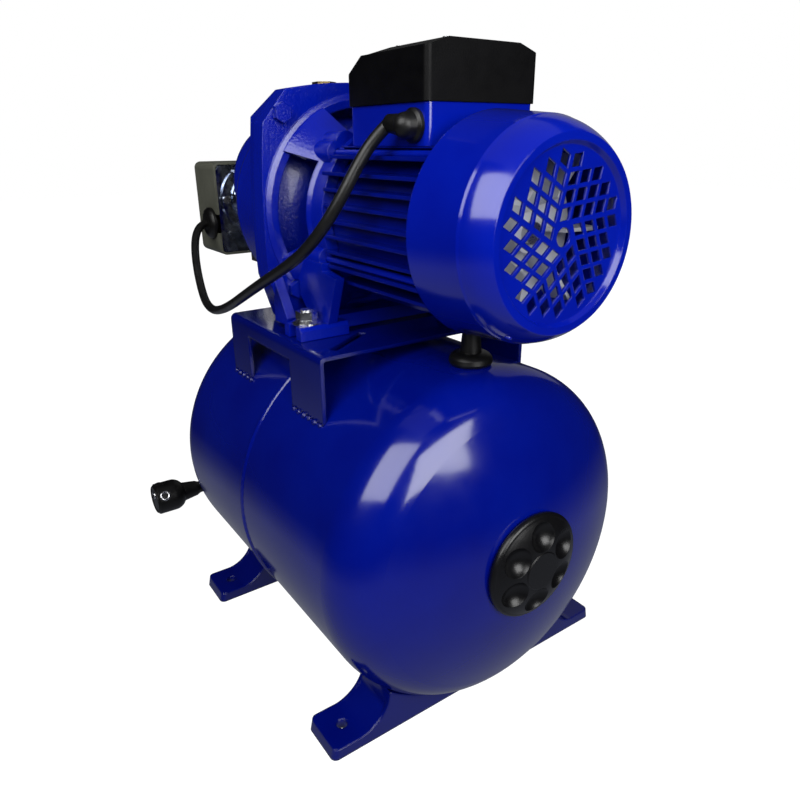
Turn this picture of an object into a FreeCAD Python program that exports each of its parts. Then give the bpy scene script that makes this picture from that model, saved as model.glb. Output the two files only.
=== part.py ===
import FreeCAD, Part
import math
import os

# Shallow well jet pump on a horizontal pressure tank: a domestic water booster set.
#
# Millimetres. +X runs from the pump head to the motor's fan, +Y to the suction side, +Z up.
# The origin is on the floor at the centre of the four foot bolts. Each node is one piece,
# or one group of identical pieces, of the set.

V = FreeCAD.Vector

# ---- driving dimensions -------------------------------------------------------------------
TANK_R = 140.0
TANK_Z = 145.0
TANK_X0, TANK_X1 = -143.0, 122.0
HEAD_DEPTH, KNUCKLE = 66.0, 44.0
TANK_WALL = 2.0
SEAM_X = -17.0

FOOT_PITCH, FOOT_WIDTH, FOOT_HALF = 230.0, 41.0, 144.5
FOOT_BOLT_PITCH, FOOT_HOLE_R = 250.0, 4.5
SHEET = 2.5

PLATE_X0, PLATE_X1, PLATE_HALF, PLATE_TOP = -103.0, 65.0, 101.0, 295.0
STUD_X, STUD_Y, SUPPORT_X = 7.0, 80.0, 112.0

AXIS_Z = 385.0
FLANGE_X = -51.0
BODY_FLANGE, BRACKET_FLANGE = 14.0, 17.0
RING_X0, RING_X1, RING_R = -6.0, 14.0, 66.0
MOTOR_X1, MOTOR_R, MOTOR_BORE = 132.0, 57.0, 52.0
SHAFT_R = 8.5
BEARING_R, BEARING_W = 20.0, 12.0
TIE_RODS = [(-46.5, 46.5), (46.5, 46.5), (-58.0, -31.0), (58.0, -31.0)]
COVER_X1 = 195.4
GRILLE_X = 192.2
SUCTION_X, PRIME_X, DRAIN_X = -170.0, -92.0, -142.0
FIN_TOP, FIN_PITCH, FIN_COUNT, FIN_REACH, FIN_CORNER_R = 44.0, 11.3, 9, 64.0, 72.0
GRILLE_PITCH, GRILLE_HOLE, GRILLE_ROWS, GRILLE_START = 10.35, 7.5, (5, 4, 3, 1), 221.5
FLANGE_BOLTS = [(-71, 75), (71, 75), (-68, -60), (68, -60)]

BOX_X0, BOX_X1, BOX_HALF, BOX_Z0, BOX_Z1, LID_Z1 = 25.0, 116.0, 45.0, 436.0, 462.0, 498.0
GLAND_X, GLAND_Z = 103.0, 448.5

FIVE_X, ELBOW_X, PORT_Z = -231.0, -250.0, 380.0
SWITCH_X, SWITCH_HALF, SWITCH_Z0, SWITCH_Z1 = -272.0, 39.0, 322.5, 416.0
DOME_R, SCREW_RING = 35.5, 31.0
SWITCH_GLAND_X, SWITCH_GLAND_Z, POST_Z = -290.0, 354.0, 402.0

KNOB_Z = 150.0
LINK_R, MAINS_R = 4.2, 3.8

FLOOR_PLUG = V(-312.0, -124.0, 20.0)


# ---- small tools --------------------------------------------------------------------------
def box(x0, x1, y0, y1, z0, z1):
    return Part.makeBox(x1 - x0, y1 - y0, z1 - z0, V(x0, y0, z0))


def rod(at, along, radius, length):
    return Part.makeCylinder(radius, length, V(*at), V(*along))


def pipe(at, along, outer, inner, length):
    return rod(at, along, outer, length).cut(rod(at, along, inner, length))


def join(shapes):
    return shapes[0].fuse(shapes[1:]).removeSplitter()


def both_sides(shape):
    """The shape and its mirror image across the XZ plane."""
    return [shape, shape.mirror(V(0, 0, 0), V(0, 1, 0))]


def outline(path, place):
    """A closed wire through the path. A step of two points is an arc's middle and its end."""
    edges, last = [], path[0]
    for step in path[1:] + path[:1]:
        if isinstance(step[0], tuple):
            edges.append(Part.Arc(place(last), place(step[0]), place(step[1])).toShape())
            last = step[1]
        elif step != last:
            edges.append(Part.LineSegment(place(last), place(step)).toShape())
            last = step
    return Part.Wire(edges)


def turned(path, origin=(0, 0, AXIS_Z), axis=(1, 0, 0)):
    """A turned piece: path holds (distance along the axis, radius) points."""
    start, axis = V(*origin), V(*axis)
    side = V(0, 0, 1) if abs(axis.x) > 0.5 else V(1, 0, 0)
    face = Part.Face(outline(path, lambda p: start + axis * p[0] + side * p[1]))
    return face.revolve(start, axis, 360)


def slab_x(path, x0, x1):
    """A YZ outline extruded along X."""
    return Part.Face(outline(path, lambda p: V(x0, p[0], p[1]))).extrude(V(x1 - x0, 0, 0))


def slab_y(path, y0, y1):
    """An XZ outline extruded along Y."""
    return Part.Face(outline(path, lambda p: V(p[0], y0, p[1]))).extrude(V(0, y1 - y0, 0))


def hexagon(at, along, flats, height):
    """A hexagonal prism that starts at a point."""
    axis = V(*along)
    side = V(0, 0, 1) if abs(axis.z) < 0.5 else V(1, 0, 0)
    other = axis.cross(side)
    corner = flats / math.sqrt(3)
    points = [V(*at) + side * (corner * math.cos(k * math.pi / 3))
              + other * (corner * math.sin(k * math.pi / 3)) for k in range(7)]
    return Part.Face(Part.makePolygon(points)).extrude(axis * height)


def around(shape, count, origin, axis, start=0.0):
    """Copies of a shape, turned about an axis."""
    copies = []
    for k in range(count):
        copy = shape.copy()
        copy.rotate(V(*origin), V(*axis), start + 360.0 * k / count)
        copies.append(copy)
    return copies


def head(x_tangent, out, radius, depth, knuckle):
    """A dished head: tangent point, knuckle middle, junction, crown middle and apex."""
    crown = (depth ** 2 + (radius - knuckle) ** 2 - knuckle ** 2) / (2 * (depth - knuckle))
    turn = math.atan2(radius - knuckle, crown - depth)
    centre = depth - crown

    def at(x, r):
        return (x_tangent + out * x, r)

    half = (math.pi / 2 + turn) / 2
    knuckle_mid = at(knuckle * math.cos(half), radius - knuckle + knuckle * math.sin(half))
    junction = at(centre + crown * math.cos(turn), crown * math.sin(turn))
    crown_mid = at(centre + crown * math.cos(turn / 2), crown * math.sin(turn / 2))
    return at(0, radius), knuckle_mid, junction, crown_mid, at(depth, 0)


def crown_x(radius, gap=0.0):
    """Where the fan-end head's crown lies at a radius, plus a gap."""
    crown = (HEAD_DEPTH ** 2 + (TANK_R - KNUCKLE) ** 2 - KNUCKLE ** 2) / (2 * (HEAD_DEPTH - KNUCKLE))
    return TANK_X1 + HEAD_DEPTH - crown + math.sqrt((crown + gap) ** 2 - radius ** 2)


def cord_tube(name, points, radius):
    """Straight runs joined by tangent arcs, as one solid tube."""
    points = [V(*p) for p in points]
    edges, last, length = [], points[0], 0.0
    for before, here, after in zip(points, points[1:], points[2:]):
        back, ahead = (before - here), (after - here)
        run = min(back.Length, ahead.Length)
        back.normalize()
        ahead.normalize()
        half_turn = (math.pi - back.getAngle(ahead)) / 2
        trim = 0.45 * run
        bend = trim / math.tan(half_turn)
        middle = back + ahead
        middle.normalize()
        centre = here + middle * (bend / math.cos(half_turn))
        start, end = here + back * trim, here + ahead * trim
        edges.append(Part.LineSegment(last, start).toShape())
        edges.append(Part.Arc(start, centre - middle * bend, end).toShape())
        length += (start - last).Length + 2 * half_turn * bend
        last = end
        print(f"  {name}: bend radius {bend:.1f}")
    edges.append(Part.LineSegment(last, points[-1]).toShape())
    length += (points[-1] - last).Length
    path = Part.Wire(edges)
    along = points[1] - points[0]
    section = Part.Wire(Part.makeCircle(radius, points[0], along))
    tube = path.makePipeShell([section], True, False)
    print(f"  {name}: length {length:.1f}, volume ratio {tube.Volume / (math.pi * radius ** 2 * length):.4f}")
    return tube


# ---- tank, feet and saddle ----------------------------------------------------------------
def tank_half(x_tangent, out):
    outer = head(x_tangent, out, TANK_R, HEAD_DEPTH, KNUCKLE)
    inner = head(x_tangent, out, TANK_R - TANK_WALL, HEAD_DEPTH - TANK_WALL, KNUCKLE - TANK_WALL)
    path = [(SEAM_X, TANK_R), outer[0], (outer[1], outer[2]), (outer[3], outer[4]),
            inner[4], (inner[3], inner[2]), (inner[1], inner[0]), (SEAM_X, TANK_R - TANK_WALL)]
    return turned(path, (0, 0, TANK_Z))


def tank_half_fan():
    """The fan-end half, with the weld bead that closes the tank."""
    bead = turned([(SEAM_X, TANK_R - 1), (SEAM_X, TANK_R + 1.5), ((SEAM_X + 2, TANK_R + 1),
                   (SEAM_X + 3.5, TANK_R - 1))], (0, 0, TANK_Z))
    return tank_half(TANK_X1, 1).fuse(bead).cut(rod((170, 0, KNOB_Z), (1, 0, 0), 6.2, 40))


def tank_half_pump():
    """The pump-end half, with the thick ring that takes the service flange."""
    ring = turned([(-214, 40), (-214, 72), (-195.5, 72), (-204, 40)], (0, 0, TANK_Z))
    opening = rod((-230, 0, TANK_Z), (1, 0, 0), 40, 60)
    holes = around(rod((-225, 0, TANK_Z + 58), (1, 0, 0), 4.3, 40), 6, (0, 0, TANK_Z), (1, 0, 0))
    return tank_half(TANK_X0, -1).fuse(ring).cut([opening] + holes)


def bladder():
    outer = head(60, 1, 118, 62, 36)
    inner = head(60, 1, 116, 60, 34)
    path = [(-216, 36), (-216, 50), (-214, 50), (-214, 38.5), (-186, 40), (-150, 102), (-120, 118),
            outer[0], (outer[1], outer[2]), (outer[3], outer[4]),
            inner[4], (inner[3], inner[2]), (inner[1], inner[0]),
            (-120, 116), (-148.7, 100.6), (-184, 38), (-212, 36)]
    return turned(path, (0, 0, TANK_Z))


def tank_flange():
    plate = turned([(-242, 12.5), (-242, 16.6), (-221, 16.6), (-221, 72), (-216, 72), (-216, 12.5)],
                   (0, 0, TANK_Z))
    return plate.cut(around(rod((-225, 0, TANK_Z + 58), (1, 0, 0), 4.3, 30), 6,
                            (0, 0, TANK_Z), (1, 0, 0)))


def tank_flange_bolts():
    bolt = join([hexagon((-226.5, 0, TANK_Z + 58), (1, 0, 0), 13, 5.5),
                 rod((-221, 0, TANK_Z + 58), (1, 0, 0), 4, 17)])
    return Part.makeCompound(around(bolt, 6, (0, 0, TANK_Z), (1, 0, 0)))


def foot(x_middle):
    """A pressed channel across the set, with a bolt sleeve under each end, that cradles the tank."""
    saddle_r, half = TANK_R + 0.15, FOOT_HALF
    seat_y = 92.0
    seat_z = TANK_Z - math.sqrt(saddle_r ** 2 - seat_y ** 2)
    bottom = TANK_Z - saddle_r
    x0, x1 = x_middle - FOOT_WIDTH / 2, x_middle + FOOT_WIDTH / 2
    shell = slab_x([(-half, 0), (-half + 2, 9.5), (-half + 26, 9.5), ((-102, 17), (-seat_y, seat_z)),
                    ((0, bottom), (seat_y, seat_z)), ((102, 17), (half - 26, 9.5)),
                    (half - 2, 9.5), (half, 0)], x0, x1)
    corners = [e for e in shell.Edges if abs(e.CenterOfMass.y) > half - 1.5 and e.Length < 10]
    shell = shell.makeFillet(5, corners)
    pocket = slab_x([(-half + 3.5, -1), (-half + 5, 7), (-half + 27, 7), (-101.5, 14), (-91.5, 31.5),
                     (-75, 23.5), (-55, 12.6), (-35, 6), (-25, 4), (-25, -1)],
                    x0 + SHEET, x1 - SHEET)
    hole = rod((x_middle, FOOT_BOLT_PITCH / 2, -5), (0, 0, 1), FOOT_HOLE_R, 40)
    sleeve = rod((x_middle, FOOT_BOLT_PITCH / 2, 0), (0, 0, 1), FOOT_HOLE_R + 3.5, 8.5)
    body = join([shell.cut(both_sides(pocket))] + both_sides(sleeve))
    return body.cut(both_sides(hole))


def saddle_plate():
    """A folded saddle: top plate, side skirts and four legs welded to the tank."""
    half, top, low = PLATE_HALF, PLATE_TOP, 225.0
    profile = [(-half, low), (-half, top - 5), ((-half + 1.5, top - 1.5), (-half + 5, top)),
               (half - 5, top), ((half - 1.5, top - 1.5), (half, top - 5)), (half, low),
               (half - 3, low), (half - 3, top - 5), ((half - 3.6, top - 3.6), (half - 5, top - 3)),
               (-half + 5, top - 3), ((-half + 3.6, top - 3.6), (-half + 3, top - 5)), (-half + 3, low)]
    plate = slab_x(profile, PLATE_X0, PLATE_X1)
    gap = box(PLATE_X0 + 37, PLATE_X1 - 51, -half - 5, half + 5, low - 5, 281)
    tank = rod((PLATE_X0 - 5, 0, TANK_Z), (1, 0, 0), TANK_R + 0.2, 200)
    slot = box(-26, 26, -3.2, 3.2, top - 6, top + 2)
    slot.rotate(V(0, 0, 0), V(0, 0, 1), 57)
    slot.translate(V(38, 61, 0))
    stud = rod((STUD_X, STUD_Y, top - 8), (0, 0, 1), 5.2, 12)
    return plate.cut([gap, tank] + both_sides(slot) + both_sides(stud))


def rear_support():
    """A waisted rubber column between the tank and the motor."""
    base = TANK_Z + TANK_R + 0.2
    top = AXIS_Z - 62.2
    tall = top - base
    return turned([(0, 0), (0, 15.5), (2, 16.5), (5, 16), ((8, 13), (9, 8)), (tall - 6, 6), (tall, 9),
                   (tall, 0)], (SUPPORT_X, 0, base), (0, 0, 1))


def air_valve():
    return turned([(172, 0), (172, 6), (190, 6), (190, 3.8), (193, 3.8), (193, 0)], (0, 0, KNOB_Z))


def valve_cap():
    """A round screw cap with six finger dimples and a raised middle disc."""
    gap = 0.9
    low, mid = crown_x(41, gap), crown_x(28, gap)
    path = [(low, 41), ((low + 2.6, 41.8), (low + 5.4, 39)), ((194.6, 31), (197.4, 16.5)), (197.4, 15),
            (198.2, 14.4), (198.2, 0), (195, 0), (195, 11), (crown_x(11, gap), 11),
            ((mid, 28), (low, 41))]
    cap = turned(path, (0, 0, KNOB_Z))
    dimple = Part.makeSphere(14, V(203, 28.5, KNOB_Z))
    return cap.cut(around(dimple, 6, (0, 0, KNOB_Z), (1, 0, 0), 28))


# ---- pump head ----------------------------------------------------------------------------
def flange_path(side=91.0, shoulder=(86.5, 68.0), corner=(66.0, 92.0), top=98.0):
    """The flange with bowed sides, cut corners and tapered foot, about the pump axis."""
    wide, high = shoulder
    near, peak = corner
    foot = side - 11
    return [(-foot, AXIS_Z - 87), (-side, AXIS_Z - 50), ((-side, AXIS_Z + 15), (-wide, AXIS_Z + high)),
            (-near, AXIS_Z + peak), ((0, AXIS_Z + top), (near, AXIS_Z + peak)),
            (wide, AXIS_Z + high), ((side, AXIS_Z + 15), (side, AXIS_Z - 50)), (foot, AXIS_Z - 87)]


def tie_rod_holes(radius):
    return [rod((-30, y, AXIS_Z + z), (1, 0, 0), radius, 180) for y, z in TIE_RODS]


def flange_bolt_holes(x0, x1, radius=4.3):
    return [rod((x0, y, AXIS_Z + z), (1, 0, 0), radius, x1 - x0) for y, z in FLANGE_BOLTS]


def pump_body():
    """The casing: square flange, round volute, domed nose and its ports."""
    flange_x0 = FLANGE_X - 1 - BODY_FLANGE
    nose = (0, 0, AXIS_Z + 15)
    outside = join([
        slab_x(flange_path(86.5, (82.0, 73.0), (59.0, 93.0), 96.0), flange_x0, FLANGE_X - 1),
        turned([(-58, 0), (-58, 84), (-102, 84), ((-114, 80.5), (-120, 70)), (-120, 0)]),
        turned([(-100, 0), (-100, 60), (-166, 60), ((-182, 53), (-190, 36)), (-190, 0)], nose),
        rod((-204, 0, PORT_Z), (1, 0, 0), 24, 30),
        rod((SUCTION_X, 40, AXIS_Z), (0, 1, 0), 24, 44),
        rod((PRIME_X, 0, AXIS_Z + 60), (0, 0, 1), 15, 31),
        rod((DRAIN_X, 0, AXIS_Z - 51), (0, 0, 1), 11, 20)])
    inside = join([
        turned([(-112, 0), (-112, 76), (-50, 76), (-50, 0)]),
        turned([(-113, 0), (-113, 53), (-164, 53), ((-177, 47), (-183, 33)), (-183, 0)], nose)])
    ports = [rod((-210, 0, PORT_Z), (1, 0, 0), 15.4, 35), rod((SUCTION_X, 48, AXIS_Z), (0, 1, 0), 15.4, 40),
             rod((SUCTION_X, 20, AXIS_Z), (0, 1, 0), 15.2, 30),
             rod((PRIME_X, 0, AXIS_Z + 65), (0, 0, 1), 8.3, 40),
             rod((DRAIN_X, 0, AXIS_Z - 60), (0, 0, 1), 6.3, 40)]
    opening = rod((-118, 0, AXIS_Z), (1, 0, 0), 45, 10)
    return outside.cut([inside, opening] + ports + flange_bolt_holes(-70, -50))


def back_plate():
    """The plate behind the impeller, with the seal's seat."""
    return turned([(-68, 11), (-68, 20), (-64, 30), ((-60, 56), (-62, 68)), (-62, 75.5), (-52, 75.5),
                   (-52, 80), (-50.6, 80), (-50.6, 74), ((-44, 60), (-40, 34)), (-36, 20), (-36, 11)])


def diffuser():
    cup = turned([(-110, 23.6), (-110, 70), (-70, 70), (-70, 66.5), (-106.5, 66.5), (-106.5, 23.6)])
    vane = box(-106.5, -72, -1, 1, AXIS_Z + 61.5, AXIS_Z + 67)
    return join([cup] + around(vane, 8, (0, 0, AXIS_Z), (1, 0, 0)))


def impeller():
    """A closed impeller: two shrouds with swept vanes between them."""
    back = turned([(-88, 6.02), (-88, 12), (-81, 14), (-81, 59), (-79, 59), (-79, 6.02)])
    front = turned([(-105, 20), (-105, 23), (-99, 24), (-96, 59), (-93.5, 59), (-96, 20)])
    vane = box(-97.5, -80, -1.5, 1.5, AXIS_Z - 18, AXIS_Z + 18)
    vane.rotate(V(0, 0, AXIS_Z), V(1, 0, 0), -40)
    vane.translate(V(0, 0, 38))
    return join([back, front] + around(vane, 6, (0, 0, AXIS_Z), (1, 0, 0)))


def ejector():
    """The venturi with its side inlet, and the nozzle in its mouth."""
    body = turned([(-178, 14), (-178, 24), (-160, 24), (-150, 17), (-110, 23), (-106, 23), (-106, 19),
                   (-148, 8), (-161, 20), (-176, 20), (-176, 14)])
    inlet = rod((SUCTION_X, 22, AXIS_Z), (0, 1, 0), 15, 25)
    hollow = rod((SUCTION_X, 15, AXIS_Z), (0, 1, 0), 11.5, 40)
    nozzle = turned([(-182, 8), (-182, 14), (-176, 14), (-160, 7), (-160, 4.5), (-176, 8)])
    return join([body, inlet, nozzle]).cut([hollow.cut(rod((-190, 0, AXIS_Z), (1, 0, 0), 14.1, 60))])


def seal_seat():
    return turned([(-72, 10.2), (-72, 16), (-68, 16), (-68, 10.9), (-60, 10.9), (-60, 10.2)])


def seal_head():
    return turned([(-78.9, 6.02), (-78.9, 9.5), (-74.2, 9.5), (-74.2, 8.6), (-72.3, 8.6), (-72.3, 6.3),
                   (-74, 6.02)])


def plug_screw(at, along, thread_r):
    """A screwed plug with a hexagon head and a flat collar."""
    x, y, z = at
    axis = V(*along)
    inside = V(*at) - axis * 12
    head_start = V(*at) + axis * 3
    return join([rod(tuple(inside), along, thread_r, 12.5), rod(at, along, thread_r + 4, 3),
                 hexagon(tuple(head_start), along, thread_r * 2 + 2, 8)])


def priming_plug():
    return plug_screw((PRIME_X, 0, AXIS_Z + 91.3), (0, 0, 1), 8.0)


def drain_plug():
    return plug_screw((DRAIN_X, 0, AXIS_Z - 51.3), (0, 0, -1), 6.0)


def window(corners):
    """A prism that opens the lantern between two arms, from corners about the axis."""
    corners = [(y, AXIS_Z + z) for y, z in corners]
    return slab_x(corners, FLANGE_X + BRACKET_FLANGE + 2, RING_X0 - 0.5)


def bracket():
    """The lantern between pump and motor: flange, open cone, motor ring, hub and feet."""
    x0, x1 = FLANGE_X, FLANGE_X + BRACKET_FLANGE
    flange = slab_x(flange_path(), x0, x1)
    rim = turned([(x1 - 2, 80), (x1 - 2, 90), (x1 + 1.5, 90), (x1 + 3, 86), (x1 + 3, 80)])
    cone = turned([(x1 - 2, 80), (x1 - 2, 88), (x1 + 4, 86.5), (RING_X0 + 3, RING_R),
                   (RING_X0 + 3, RING_R - 10)])
    ring = turned([(RING_X0, RING_R - 14), (RING_X0, RING_R), (RING_X1, RING_R), (RING_X1, MOTOR_R + 0.3),
                   (0, MOTOR_R + 0.3), (0, RING_R - 14)])
    wall = turned([(RING_X0, 20), (RING_X0, 60), (0, 60), (0, 28), (-2, 24), (-2, 20)])
    hub = turned([(-24, 12), (-24, 27), (RING_X0 + 2, 29), (RING_X0 + 2, BEARING_R),
                  (-20, BEARING_R), (-20, 12)])
    side = window([(-110, 64), (-45, 36), (-30, 0), (-60, -20), (-110, -54)])
    top = window([(-40, 110), (-40, 88), (-26, 56), (0, 30), (26, 56), (40, 88), (40, 110)])
    bottom = window([(-26, -110), (-26, -60), (0, -30), (26, -60), (26, -110)])
    cone = cone.cut(both_sides(side) + [top, bottom])
    bosses = [rod((RING_X0 - 8, y, AXIS_Z + z), (1, 0, 0), 9, 22)
              for y, z in TIE_RODS + [(-39.0, 53.0), (39.0, 53.0)]]
    web = slab_y([(x1 - 3, 330), (x1 - 3, 352), (13, 352), (13, 346), (34, 343), (20, 306), (-5, 303)],
                 60, 68)
    pad = slab_y([(-7, 295.3), (-7, 303), (-5, 306), (19, 306), (21, 303), (21, 295.3)], 50, 93)
    pad = pad.cut(box(STUD_X - 5.6, STUD_X + 5.6, STUD_Y - 5, 100, 290, 310))
    rib = slab_y([(x1 - 3, 300), (x1 - 3, 340), (-14, 306), (-14, 300)], 79, 87)
    cross = box(-10, 8, -52, 52, 297, 308)
    body = join([flange, rim, cone, ring, wall, hub, cross] + bosses
                + both_sides(web) + both_sides(pad) + both_sides(rib))
    through = turned([(x0 - 1, 0), (x0 - 1, 81), (x1 + 2, 81), (RING_X0 - 2, 52), (RING_X0 - 2, 29.5),
                      (-26, 29), (-26, 0)])
    bore = rod((0, 0, AXIS_Z), (1, 0, 0), MOTOR_R + 0.3, 20)
    clear = rod((RING_X0 + 2, 0, AXIS_Z), (1, 0, 0), BEARING_R, 6)
    seats = [rod((RING_X0 - 24, y, AXIS_Z + z), (1, 0, 0), 6.2, 16) for y, z in TIE_RODS]
    seats += flange_bolt_holes(x1, x1 + 8, 8.2)
    return body.cut([through, bore, clear] + seats + tie_rod_holes(2.8) + flange_bolt_holes(-60, -30))


def flange_bolts():
    head_x = FLANGE_X + BRACKET_FLANGE
    bolts = []
    for y, z in FLANGE_BOLTS:
        bolts.append(join([hexagon((head_x, y, AXIS_Z + z), (1, 0, 0), 13, 5.5),
                           rod((head_x - 30, y, AXIS_Z + z), (1, 0, 0), 4, 31)]))
    return Part.makeCompound(bolts)


def foot_bolts():
    """Studs through the saddle with flanged hexagon nuts on the pump's feet."""
    base = (STUD_X, STUD_Y, 306)
    nut = join([turned([(0, 0), (0, 11.7), (1.2, 11.7), (3.5, 8.5), (3.5, 0)], base, (0, 0, 1)),
                hexagon((STUD_X, STUD_Y, 309), (0, 0, 1), 15, 7)])
    stud = rod((STUD_X, STUD_Y, PLATE_TOP - 3), (0, 0, 1), 5, 25)
    return Part.makeCompound(both_sides(join([nut, stud])))


# ---- motor --------------------------------------------------------------------------------
def shaft():
    """The stepped shaft, with the nut that holds the impeller."""
    bar = turned([(-100, 0), (-100, 4), (-88, 4), (-88, 6), (-74, 6), (-52, 8), (-26, 8), (-20, SHAFT_R),
                  (25, SHAFT_R), (25, 10), (105, 10), (105, SHAFT_R), (131, SHAFT_R), (131, 7),
                  (168, 7), (168, 0)])
    return join([bar, hexagon((-94, 0, AXIS_Z), (1, 0, 0), 11, 5.9)])


def bearing(x0):
    return turned([(x0, SHAFT_R + 0.03), (x0, BEARING_R), (x0 + BEARING_W, BEARING_R),
                   (x0 + BEARING_W, SHAFT_R + 0.03)])


def rotor():
    core = pipe((30, 0, AXIS_Z), (1, 0, 0), 29.4, 10.02, 70)
    ends = [pipe((x, 0, AXIS_Z), (1, 0, 0), 27, 19, 5) for x in (25.5, 99.5)]
    return join([core] + ends)


def stator():
    core = pipe((30, 0, AXIS_Z), (1, 0, 0), MOTOR_BORE, 30, 70)
    slot = box(29, 101, -1.2, 1.2, AXIS_Z + 29, AXIS_Z + 34)
    return core.cut(around(slot, 12, (0, 0, AXIS_Z), (1, 0, 0)))


def windings():
    rings = []
    for x0, x1 in ((16, 29.6), (100.4, 113)):
        mid = (x0 + x1) / 2
        rings.append(turned([(x0, 35), (x0, 44), ((mid, 49), (x1, 44)), (x1, 35), ((mid, 33), (x0, 35))]))
    return Part.makeCompound(rings)


def motor_housing():
    """A finned aluminium tube with a flat top for the terminal box."""
    x0, x1 = RING_X1 + 0.1, MOTOR_X1
    tube = rod((x0, 0, AXIS_Z), (1, 0, 0), MOTOR_R, x1 - x0)
    pieces = [tube]
    for k in range(FIN_COUNT):
        z = FIN_TOP - FIN_PITCH * k
        reach = min(FIN_REACH, math.sqrt(FIN_CORNER_R ** 2 - z ** 2))
        pieces.append(box(x0, x1, -reach, reach, AXIS_Z + z - 1.3, AXIS_Z + z + 1.3))
    for y in (-24, -8, 8, 24):
        pieces.append(box(x0, x1, y - 1.3, y + 1.3, AXIS_Z - 62, AXIS_Z - 40))
    pieces.append(box(x0, x1, -47, 47, AXIS_Z + 44, AXIS_Z + 51))
    return join(pieces).cut([rod((x0 - 1, 0, AXIS_Z), (1, 0, 0), MOTOR_BORE, 130)] + tie_rod_holes(3.6))


def rear_shield():
    """The motor's rear end shield with its bearing seat and spigot."""
    plate = turned([(117, 20), (117, 25), (132.1, 28), (132.1, 70.6), (138, 70.6), (138, 9), (131, 9),
                    (131, 20)])
    spigot = pipe((127, 0, AXIS_Z), (1, 0, 0), 51.9, 47, 6)
    return join([plate, spigot]).cut(tie_rod_holes(2.8))


def tie_rods():
    pieces = []
    for y, z in TIE_RODS:
        pieces.append(join([rod((-19, y, AXIS_Z + z), (1, 0, 0), 2.5, 160),
                            hexagon((138, y, AXIS_Z + z), (1, 0, 0), 8, 4),
                            hexagon((-19, y, AXIS_Z + z), (1, 0, 0), 9, 5)]))
    return Part.makeCompound(pieces)


def fan():
    """A straight-bladed cooling fan on a hub."""
    hub = turned([(146, 7.02), (146, 16), (164, 13), (164, 7.02)])
    disc = turned([(146, 15), (146, 52), (148.5, 52), (148.5, 15)])
    blade = box(148, 170, -1.2, 1.2, AXIS_Z + 20, AXIS_Z + 60)
    tilt = slab_y([(147, AXIS_Z + 16), (176, AXIS_Z + 30), (176, AXIS_Z + 58), (147, AXIS_Z + 60)], -1.3, 1.3)
    blade = blade.common(tilt)
    return join([hub, disc] + around(blade, 7, (0, 0, AXIS_Z), (1, 0, 0), 12))


def grille_holes():
    """Five fans of diamond holes about a round middle hole."""
    holes = [rod((GRILLE_X - 6, 0, AXIS_Z), (1, 0, 0), 5.8, 12)]
    for sector in range(5):
        first = math.radians(GRILLE_START - 72 * sector)
        second = first - math.radians(72)
        u = V(0, math.cos(first), math.sin(first))
        w = V(0, math.cos(second), math.sin(second))
        for i, row in enumerate(GRILLE_ROWS):
            for j in range(row):
                middle = V(GRILLE_X - 6, 0, AXIS_Z) + u * ((1.34 + i) * GRILLE_PITCH) \
                    + w * ((j - 0.26) * GRILLE_PITCH)
                a, b = u * (GRILLE_HOLE / 2), w * (GRILLE_HOLE / 2)
                corners = [middle + a + b, middle + a - b, middle - a - b, middle - a + b, middle + a + b]
                holes.append(Part.Face(Part.makePolygon(corners)).extrude(V(12, 0, 0)))
    return holes


def fan_cover():
    """The pressed fan cover: skirt, bevelled shoulder and grille."""
    t = 1.6
    path = [(132.4, 73.2), (175, 69.4), (177, 68.6), ((187.5, 64.6), (COVER_X1, 59.2)), (COVER_X1, 54.5),
            (GRILLE_X, 52.5), (GRILLE_X, 0), (GRILLE_X - t, 0), (GRILLE_X - t, 53.5),
            (COVER_X1 - 2.2, 57), ((186.4, 63), (176.2, 66.9)), (132.4, 71.6)]
    return turned(path).cut(grille_holes())


# ---- terminal box -------------------------------------------------------------------------
def terminal_box():
    shell = box(BOX_X0, BOX_X1, -BOX_HALF, BOX_HALF, BOX_Z0 + 0.2, BOX_Z1)
    edges = [e for e in shell.Edges if abs(e.tangentAt(0).z) > 0.9]
    shell = shell.makeFillet(4, edges)
    hollow = box(BOX_X0 + 3, BOX_X1 - 3, -BOX_HALF + 3, BOX_HALF - 3, BOX_Z0 + 8.5, BOX_Z1 + 1)
    hole = rod((GLAND_X, -BOX_HALF - 5, GLAND_Z), (0, 1, 0), 6.2, 12)
    motor = rod((0, 0, AXIS_Z), (1, 0, 0), MOTOR_R + 0.2, 140)
    return shell.cut([hollow, hole, motor])


def terminal_lid():
    """The black lid: straight walls, bevelled top edges and a sloped pump end."""
    x0, x1, half = BOX_X0 - 1, BOX_X1 + 1, BOX_HALF + 1.5
    block = box(x0, x1, -half, half, BOX_Z1 + 0.2, LID_Z1)
    edges = [e for e in block.Edges if abs(e.tangentAt(0).z) > 0.9]
    block = block.makeFillet(4, edges)
    side = slab_x([(-half - 1, 493), (-half + 2, 493), (-half + 17, LID_Z1), (-half + 17, LID_Z1 + 1),
                   (-half - 1, LID_Z1 + 1)], x0 - 1, x1 + 1)
    end = slab_y([(x0 - 1, 481), (x0, 481), (x0 + 22, 494.5), (x0 + 30, LID_Z1), (x0 + 30, LID_Z1 + 1),
                  (x0 - 1, LID_Z1 + 1)], -half - 1, half + 1)
    hollow = box(x0 + 2.5, x1 - 2.5, -half + 2.5, half - 2.5, BOX_Z1 - 1, 478.5)
    upper = box(x0 + 24, x1 - 2.5, -half + 2.5, half - 2.5, BOX_Z1 - 1, 490)
    return block.cut(both_sides(side) + [end, hollow, upper] + lid_screw_rods(2.55))


def lid_screw_rods(radius):
    spots = ((110, -26), (110, 26), (60, -26), (60, 26))
    return [rod((x, y, LID_Z1 - 7), (0, 0, 1), radius, 7.6) for x, y in spots]


def lid_screws():
    return Part.makeCompound(lid_screw_rods(2.5))


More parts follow.
